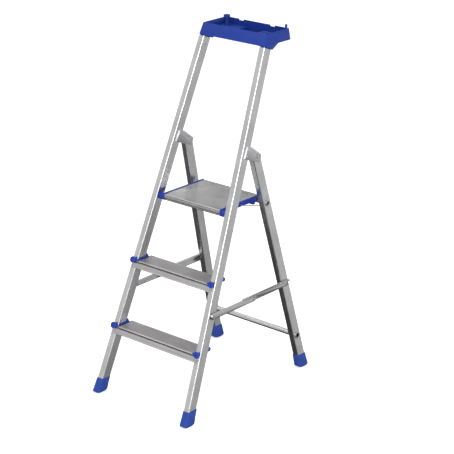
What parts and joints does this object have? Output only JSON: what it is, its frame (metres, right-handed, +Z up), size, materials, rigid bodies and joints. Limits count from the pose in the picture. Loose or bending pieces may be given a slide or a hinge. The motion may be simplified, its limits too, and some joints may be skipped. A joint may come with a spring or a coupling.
{
  "type": "folding step ladder",
  "caption": "Folding aluminium step ladder with ribbed treads, a hinged platform, folding stays and a blue plastic tool tray on top.",
  "frame": {"origin": "on the floor under the middle of the open ladder's bounding box", "axes": "+Z up, +Y from the front rails towards the rear legs, +X towards the ladder's right as seen from the front"},
  "size_m": [0.4624, 0.7112, 1.325],
  "materials": {
    "profile_aluminium": "satin",
    "tread_aluminium": "satin",
    "deck_aluminium": "satin",
    "fastener_steel": "satin",
    "tray_plastic": "satin",
    "cap_plastic": "satin",
    "foot_plastic": "satin"
  },
  "bodies": {
    "front_frame": {"front_rail_left": "profile_aluminium", "front_rail_right": "profile_aluminium", "front_foot_left": "foot_plastic", "front_foot_right": "foot_plastic", "tread_lower": "tread_aluminium", "tread_upper": "tread_aluminium", "tread_cap_lower_left": "cap_plastic", "tread_cap_lower_right": "cap_plastic", "tread_cap_upper_left": "cap_plastic", "tread_cap_upper_right": "cap_plastic", "tread_rivets": "fastener_steel", "tool_tray": "tray_plastic", "tray_rivets": "fastener_steel", "hinge_bracket_left": "profile_aluminium", "hinge_bracket_right": "profile_aluminium", "bracket_rivets": "fastener_steel", "hinge_pins": "fastener_steel", "platform_pivot_pins": "fastener_steel"},
    "rear_frame": {"rear_leg_left": "profile_aluminium", "rear_leg_right": "profile_aluminium", "rear_foot_left": "foot_plastic", "rear_foot_right": "foot_plastic", "upper_cross_tube": "profile_aluminium", "lower_cross_tube": "profile_aluminium", "stay_pivot_pins": "fastener_steel"},
    "platform": {"platform_deck": "deck_aluminium", "platform_arm_left": "cap_plastic", "platform_arm_right": "cap_plastic"},
    "stay_rear_link_left": {"stay_rear_left": "profile_aluminium", "stay_mid_rivet_left": "fastener_steel"},
    "stay_rear_link_right": {"stay_rear_right": "profile_aluminium", "stay_mid_rivet_right": "fastener_steel"},
    "stay_front_link_left": {"stay_front_left": "profile_aluminium", "stay_front_rivet_left": "fastener_steel"},
    "stay_front_link_right": {"stay_front_right": "profile_aluminium", "stay_front_rivet_right": "fastener_steel"},
    "wire_left": {"wire_link_left": "fastener_steel"},
    "wire_right": {"wire_link_right": "fastener_steel"}
  },
  "joints": [
    {"name": "rear_fold", "type": "hinge", "parent": "front_frame", "child": "rear_frame", "pos_m": [0, 0.09707, 0.88869], "axis": [-1, 0, 0], "range_deg": [0, 36.8]},
    {"name": "platform_fold", "type": "hinge", "parent": "front_frame", "child": "platform", "pos_m": [0, -0.04696, 0.70434], "axis": [1, 0, 0], "range_deg": [0, 67.8]},
    {"name": "stay_left_rear_pivot", "type": "hinge", "parent": "rear_frame", "child": "stay_rear_link_left", "pos_m": [0, 0.23319, 0.36613], "axis": [-1, 0, 0], "range_deg": [0, 58.1]},
    {"name": "stay_left_mid_pivot", "type": "hinge", "parent": "stay_rear_link_left", "child": "stay_front_link_left", "pos_m": [0, 0.04429, 0.36755], "axis": [1, 0, 0], "range_deg": [0, 160.9]},
    {"name": "wire_left_pivot", "type": "hinge", "parent": "rear_frame", "child": "wire_left", "pos_m": [0, 0.14882, 0.68206], "axis": [-1, 0, 0], "range_deg": [0, 21]},
    {"name": "stay_right_rear_pivot", "type": "hinge", "parent": "rear_frame", "child": "stay_rear_link_right", "pos_m": [0, 0.23319, 0.36613], "axis": [-1, 0, 0], "range_deg": [0, 58.1]},
    {"name": "stay_right_mid_pivot", "type": "hinge", "parent": "stay_rear_link_right", "child": "stay_front_link_right", "pos_m": [0, 0.04429, 0.36755], "axis": [1, 0, 0], "range_deg": [0, 160.9]},
    {"name": "wire_right_pivot", "type": "hinge", "parent": "rear_frame", "child": "wire_right", "pos_m": [0, 0.14882, 0.68206], "axis": [-1, 0, 0], "range_deg": [0, 21]}
  ],
  "couplings": [
    {"joint": "platform_fold", "follows": "rear_fold", "ratio": 1.8424},
    {"joint": "stay_left_rear_pivot", "follows": "rear_fold", "ratio": 1.5788},
    {"joint": "stay_left_mid_pivot", "follows": "rear_fold", "ratio": 4.3723},
    {"joint": "wire_left_pivot", "follows": "rear_fold", "ratio": 0.57064},
    {"joint": "stay_right_rear_pivot", "follows": "rear_fold", "ratio": 1.5788},
    {"joint": "stay_right_mid_pivot", "follows": "rear_fold", "ratio": 4.3723},
    {"joint": "wire_right_pivot", "follows": "rear_fold", "ratio": 0.57064}
  ]
}
